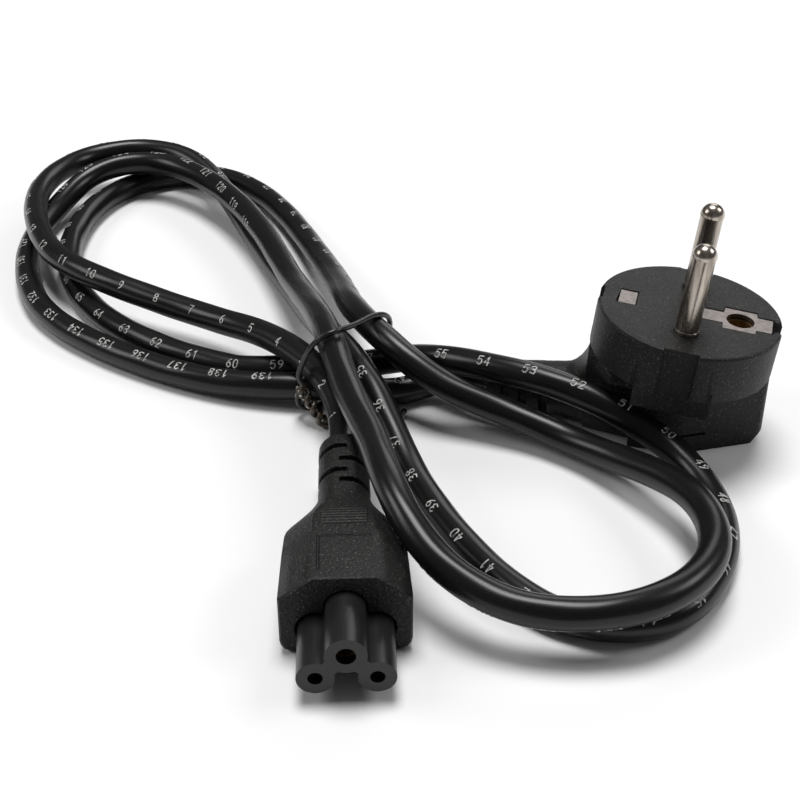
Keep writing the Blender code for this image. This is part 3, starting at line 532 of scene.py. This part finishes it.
def cord_line():
    """The cord's middle line from the connector's strain relief to the plug's, never under the floor."""
    end, height = CONNECTOR_EXIT
    starts = [(0, end + CORD_GAP, height), (0, end + CORD_LEAD, height)]
    end, height = PLUG_EXIT
    ends = [(-end - CORD_LEAD, 0, height), (-end - CORD_GAP, 0, height)]
    first = placed(np.array(starts, float), CONNECTOR_PLACE)
    last = placed(np.array(ends, float), PLUG_PLACE)
    line = smooth_line(np.concatenate([first, CORD_ROUTE, last]), CORD_SPACING)
    line[:, 2] = np.maximum(line[:, 2], CORD_RADIUS)
    return line


def cord(material):
    """Round jacket. Its radius swells by a hair three times around, where the cores press, and the
    swellings turn with the cores' lay: r = R + s * cos(3 * (a - 2 pi * x / pitch))."""
    path = cord_line()
    run = lengths_along(path)
    turn = np.linspace(0, 2 * math.pi, CORD_SIDES, endpoint=False)
    lay = 3 * (turn[None] - 2 * math.pi * run[:, None] / LAY_PITCH)
    radius = CORD_RADIUS - LAY_SWELL + LAY_SWELL * np.cos(lay)
    grid = tube(path, level_frames(path), radius, CORD_SIDES)
    made = mesh_piece("cord_jacket", grid.reshape(-1, 3), skin(grid), material)
    across = np.broadcast_to(turn, (len(path), CORD_SIDES))
    along = np.broadcast_to(run[:, None], (len(path), CORD_SIDES))
    skin_place = np.stack([np.cos(across), np.sin(across), along], axis=-1)
    stored = made.data.attributes.new("skin", "FLOAT_VECTOR", "POINT")
    stored.data.foreach_set("vector", skin_place.ravel())
    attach(made, "root")
    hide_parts("cord")
    return made, path


def mark_strokes():
    """Straight strokes of every number: two ends each, as distance along the cord and across its skin.
    They read towards the connector, with their tops the way the turning angle falls."""
    unit_size = MARK_HEIGHT / DIGIT_UNITS
    ends = []
    for number in range(1, int(CORD_LENGTH * MARKS_IN_METRE)):
        for place, digit in enumerate(str(number)):
            corner = np.array((place * MARK_PITCH, -MARK_HEIGHT / 2))
            line = np.array(DIGITS[int(digit)]) * unit_size + corner
            line = np.stack([number / MARKS_IN_METRE - line[:, 0], -line[:, 1]], axis=-1)
            ends.append(np.stack([line[:-1], line[1:]], axis=1))
    return cut_short(np.concatenate(ends), STROKE_PIECE)


def cut_short(strokes, longest):
    """Straight strokes cut into equal pieces of a greatest length, so that they bend with the skin."""
    start, way = strokes[:, 0], strokes[:, 1] - strokes[:, 0]
    counts = np.ceil(np.linalg.norm(way, axis=1) / longest).astype(int)
    owner = np.repeat(np.arange(len(strokes)), counts)
    order = np.arange(len(owner)) - np.repeat(np.cumsum(counts) - counts, counts)
    step = way[owner] / counts[owner][:, None]
    near = start[owner] + step * order[:, None]
    return np.stack([near, near + step], axis=1)


def cord_marks(path, material):
    """Ink of the numbers: each stroke is a thin plate laid on the skin. A corner at a distance s along
    and a width w across is path(s) + r * (cos a * across(s) + sin a * up(s)), a = roll(s) + w / R."""
    strokes = mark_strokes()
    way = unit(strokes[:, 1] - strokes[:, 0])
    side = np.stack([-way[:, 1], way[:, 0]], axis=-1) * STROKE_HALF_WIDTH
    reach = way * STROKE_HALF_WIDTH
    start, end = strokes[:, 0] - reach, strokes[:, 1] + reach
    corners = np.stack([start - side, end - side, end + side, start + side], axis=1)
    run = lengths_along(path)
    across, up = level_frames(path)
    roll = np.array(MARK_ROLL)
    turn = np.radians(np.interp(corners[..., 0], roll[:, 0], roll[:, 1])) + corners[..., 1] / CORD_RADIUS
    read = [np.stack([np.interp(corners[..., 0], run, rows[:, k]) for k in range(3)], axis=-1)
            for rows in (path, across, up)]
    outward = np.cos(turn)[..., None] * read[1] + np.sin(turn)[..., None] * read[2]
    layers = [read[0] + (CORD_RADIUS + rise) * outward for rise in (-INK_DEPTH, INK_RISE)]
    points = np.concatenate(layers, axis=1).reshape(-1, 3)
    plate = np.array(((0, 1, 2, 3), (4, 5, 6, 7), (0, 1, 5, 4), (1, 2, 6, 5), (2, 3, 7, 6), (3, 0, 4, 7)))
    faces = (np.arange(len(strokes))[:, None, None] * 8 + plate[None]).reshape(-1, 4).tolist()
    made = mesh_piece("cord_marks", points, faces, material, smooth=False)
    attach(made, "root")
    return made


def twisted(phase):
    """One wire of the twist: a helix of small radius about the line from its top to its tip."""
    way = TWIST_TIP - TWIST_TOP
    side = unit(np.cross(way, (0.0, 0.0, 1.0)))
    other = np.cross(unit(way), side)
    share = np.linspace(0, 1, TWIST_STEPS + 1)[:, None]
    angle = 2 * math.pi * TWIST_TURNS * share + phase
    return TWIST_TOP + way * share + TWIST_RADIUS * (np.cos(angle) * side + np.sin(angle) * other)


def wire_tie(material):
    """Coated wire around the bundle, its ends twisted together and one end left loose. The attribute
    twist is 1 on the twist, where the coating is rubbed, and fades to 0 away from it."""
    route = np.concatenate([
        twisted(-math.pi / 2)[::-1], TIE_TURN, twisted(math.pi / 2), TIE_LOOSE_END,
    ])
    path = smooth_line(route, WIRE_SPACING)
    grid = tube(path, carried_frames(path), WIRE_RADIUS, WIRE_SIDES)
    made = mesh_piece("tie_wire", grid.reshape(-1, 3), skin(grid), material)
    share = (grid - TWIST_TOP) @ (TWIST_TIP - TWIST_TOP) / np.sum((TWIST_TIP - TWIST_TOP) ** 2)
    away = np.linalg.norm(grid - TWIST_TOP - share[..., None] * (TWIST_TIP - TWIST_TOP), axis=-1)
    near = np.clip(RUB_REACH - away / (TWIST_RADIUS + WIRE_RADIUS), 0, 1)
    near = near * np.clip(share * RUB_FADE + 1, 0, 1)
    stored = made.data.attributes.new("twist", "FLOAT", "POINT")
    stored.data.foreach_set("value", near.ravel())
    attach(made, "root")
    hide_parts("wire_tie")
    return made


def mark_edges(shape, width):
    """Give full bevel weight to the edges that are rounded: those where faces meet at an angle and
    every edge at both ends is long enough for the bevel, so that its corners don't fold over."""
    weight = shape.edges.layers.float.new("bevel_weight_edge")
    for edge in shape.edges:
        beside = [other for vert in edge.verts for other in vert.link_edges]
        room = min(other.calc_length() for other in beside) > ROOM_FOR_BEVEL * width
        if room and len(edge.link_faces) == 2 and edge.calc_face_angle(0.0) > SHARP_ANGLE:
            edge[weight] = 1.0


def softened(node, name, material, width):
    """Copy of a moulded piece with its edges rounded: joined where its triangles meet, flat parts made
    one face, then bevelled where faces meet at an angle."""
    made = bpy.data.objects.new(name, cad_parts[node].data.copy())
    bpy.context.collection.objects.link(made)
    shape = bmesh.new()
    shape.from_mesh(made.data)
    bmesh.ops.remove_doubles(shape, verts=shape.verts, dist=MERGE)
    bmesh.ops.dissolve_limit(shape, angle_limit=FLAT_ANGLE, verts=shape.verts, edges=shape.edges)
    mark_edges(shape, width)
    shape.to_mesh(made.data)
    shape.free()
    made.data.materials.clear()
    made.data.materials.append(material)
    made.data.shade_smooth()
    made.data.set_sharp_from_angle(angle=SHARP_ANGLE)
    change = made.modifiers.new("edges", "BEVEL")
    change.limit_method = "WEIGHT"
    change.width = width
    change.segments = 2
    change.use_clamp_overlap = False
    even = made.modifiers.new("even", "WEIGHTED_NORMAL")
    even.keep_sharp = True
    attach(made, "root")
    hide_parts(node)
    return made


def pin(name, side, material):
    """Round pin turned from a profile: a straight shaft a hair thinner than its root and its round tip,
    which ends in a small flat."""
    turn = np.linspace(0, math.pi / 2, TIP_RINGS + 1)[:-1]
    tip = PIN_LENGTH - PIN_RADIUS
    thin = PIN_RADIUS - SHAFT_RELIEF
    shaft = ((-PIN_ROOT, PIN_RADIUS), (SHAFT_START, PIN_RADIUS), (SHAFT_START + SHAFT_RELIEF, thin),
             (tip - 3 * SHAFT_RELIEF, thin), (tip - SHAFT_RELIEF, PIN_RADIUS))
    radius = np.concatenate([[r for z, r in shaft], PIN_RADIUS * np.cos(turn)])
    height = np.concatenate([[z for z, r in shaft], tip + PIN_RADIUS * np.sin(turn)])
    angle = np.linspace(0, 2 * math.pi, PIN_SIDES, endpoint=False)
    ring = np.stack([np.cos(angle), np.sin(angle), np.zeros_like(angle)], axis=-1)
    grid = radius[:, None, None] * ring[None] + height[:, None, None] * np.array((0.0, 0.0, 1.0))
    grid += np.array((0.0, side * PIN_SPACING / 2, 0.0))
    points = placed(grid, FACE_PLACE)
    made = mesh_piece(name + "_turned", points.reshape(-1, 3), skin(grid), material)
    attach(made, "root")
    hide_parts(name)
    return made


def pin_collars(material):
    """The moulding that closes tightly around each pin: a ring turned from a closed profile that goes
    down the pin, out to the bore's wall and up again, a hair proud of the face with a rounded lip."""
    inner = PIN_RADIUS + COLLAR_CLEARANCE
    outer = PIN_RADIUS + BORE_GAP + COLLAR_OVERLAP
    lip = np.linspace(0, math.pi, LIP_RINGS)
    middle, half = (inner + outer) / 2, (outer - inner) / 2
    radius = np.concatenate([[inner], middle - half * np.cos(lip), [outer]])
    height = np.concatenate([[-COLLAR_DEPTH], COLLAR_RISE * np.sin(lip), [-COLLAR_DEPTH]])
    angle = np.linspace(0, 2 * math.pi, PIN_SIDES, endpoint=False)
    around = np.stack([np.cos(angle), np.sin(angle), np.zeros_like(angle)], axis=-1)
    points, faces = [], []
    for side in (-1, 1):
        grid = radius[:, None, None] * around[None] + height[:, None, None] * np.array((0.0, 0.0, 1.0))
        grid = placed(grid + np.array((0.0, side * PIN_SPACING / 2, 0.0)), FACE_PLACE)
        faces += closed_skin(grid, len(points) * grid.shape[0] * grid.shape[1])
        points.append(grid.reshape(-1, 3))
    made = mesh_piece("pin_collars", np.concatenate(points), faces, material)
    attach(made, "root")
    return made


def camera():
    """Camera at the photograph's angle, looking down at the bundle."""
    data = bpy.data.cameras.new("camera")
    data.lens = CAMERA_LENS
    made = bpy.data.objects.new("camera", data)
    back = Vector((0, -math.cos(CAMERA_PITCH), math.sin(CAMERA_PITCH)))
    made.location = CAMERA_AIM + back * CAMERA_REACH
    made.rotation_euler = (math.pi / 2 - CAMERA_PITCH, 0, 0)
    bpy.context.collection.objects.link(made)
    bpy.context.scene.camera = made


def lamp(name, place, size, power):
    """Soft square lamp that shines at the bundle."""
    data = bpy.data.lights.new(name, "AREA")
    data.shape = "SQUARE"
    data.size = size
    data.energy = power
    made = bpy.data.objects.new(name, data)
    made.location = place
    made.rotation_euler = (CAMERA_AIM - made.location).to_track_quat("-Z", "Y").to_euler()
    bpy.context.collection.objects.link(made)


def overhead_light():
    """Even light from almost straight above, as wide as a ceiling panel."""
    data = bpy.data.lights.new("overhead", "SUN")
    data.energy = OVERHEAD_STRENGTH
    data.angle = OVERHEAD_SPREAD
    made = bpy.data.objects.new("overhead", data)
    made.rotation_euler = OVERHEAD_LEAN
    bpy.context.collection.objects.link(made)


def studio():
    """White floor, overhead light, a faint even sky and three soft lamps, shown with plain contrast."""
    mesh = bpy.data.meshes.new("floor")
    corners = [(x * FLOOR_REACH, y * FLOOR_REACH, 0) for x, y in ((-1, -1), (1, -1), (1, 1), (-1, 1))]
    mesh.from_pydata(corners, [], [(0, 1, 2, 3)])
    mesh.materials.append(pale_floor())
    floor = bpy.data.objects.new("floor", mesh)
    bpy.context.collection.objects.link(floor)
    world = bpy.data.worlds.new("sky")
    world.use_nodes = True
    world.node_tree.nodes["Background"].inputs["Color"].default_value = (1, 1, 1, 1)
    world.node_tree.nodes["Background"].inputs["Strength"].default_value = SKY_STRENGTH
    bpy.context.scene.world = world
    overhead_light()
    for name, place, size, power in LAMPS:
        lamp(name, place, size, power)
    bpy.context.scene.view_settings.view_transform = "Standard"


camera()
jacket, cord_path = cord(cord_black())
marks = cord_marks(cord_path, mark_white())
tie = wire_tie(tie_black())
grained = moulded_black()
plug_body = softened("plug_body", "plug_moulding", grained, EDGE_WIDTH)
ribbed = moulded_black("moulded_black_ribbed", connector_relief)
connector_body = softened("connector_body", "connector_moulding", ribbed, EDGE_WIDTH)
insert = softened("cloverleaf_insert", "cloverleaf_nose", insert_black(), EDGE_WIDTH)
plated = nickel("nickel", (0.25, 0.21, 0.17), (0.62, 0.56, 0.50), 0.16)
pins = [pin("pin_front", -1, plated), pin("pin_rear", 1, plated)]
collars = pin_collars(grained)
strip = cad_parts["earth_strip"]
strip.data.materials.clear()
strip.data.materials.append(nickel("nickel_strip", (0.17, 0.15, 0.143), (0.29, 0.26, 0.245), 0.34))
dull = brass()
contacts = [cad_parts[node] for node in (
    "earth_socket", "contact_sleeve_left", "contact_sleeve_right", "contact_sleeve_earth",
)]
for contact in contacts:
    contact.data.materials.clear()
    contact.data.materials.append(dull)
studio()
